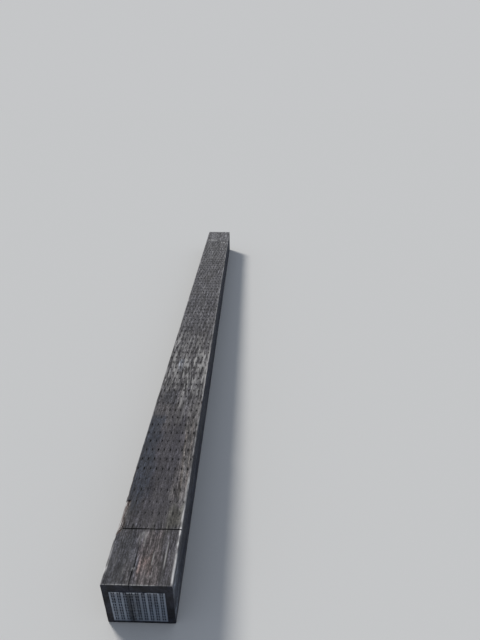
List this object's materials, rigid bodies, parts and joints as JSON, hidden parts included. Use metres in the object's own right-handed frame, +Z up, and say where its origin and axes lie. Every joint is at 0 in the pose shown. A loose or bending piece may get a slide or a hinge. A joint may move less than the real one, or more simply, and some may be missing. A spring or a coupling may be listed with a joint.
{
  "type": "railway sleeper",
  "caption": "Long square-sawn timber sleeper with an incised, weathered top, end checks, and a toothed nail plate pressed into one end grain face.",
  "frame": {"origin": "middle of the underside, halfway along and across the whole, nail plate included", "axes": "+Y along the sleeper from its plated end to its plain end, +X across it, +Z up out of the incised top"},
  "size_m": [0.2286, 3.964, 0.2032],
  "materials": {
    "weathered_timber": "sawn, treated and weathered grey-brown, dry and rough",
    "galvanised_steel": "galvanised, dull and stained by the timber's treatment"
  },
  "bodies": {
    "root": {"timber": "weathered_timber", "end_plate": "galvanised_steel"}
  },
  "joints": []
}
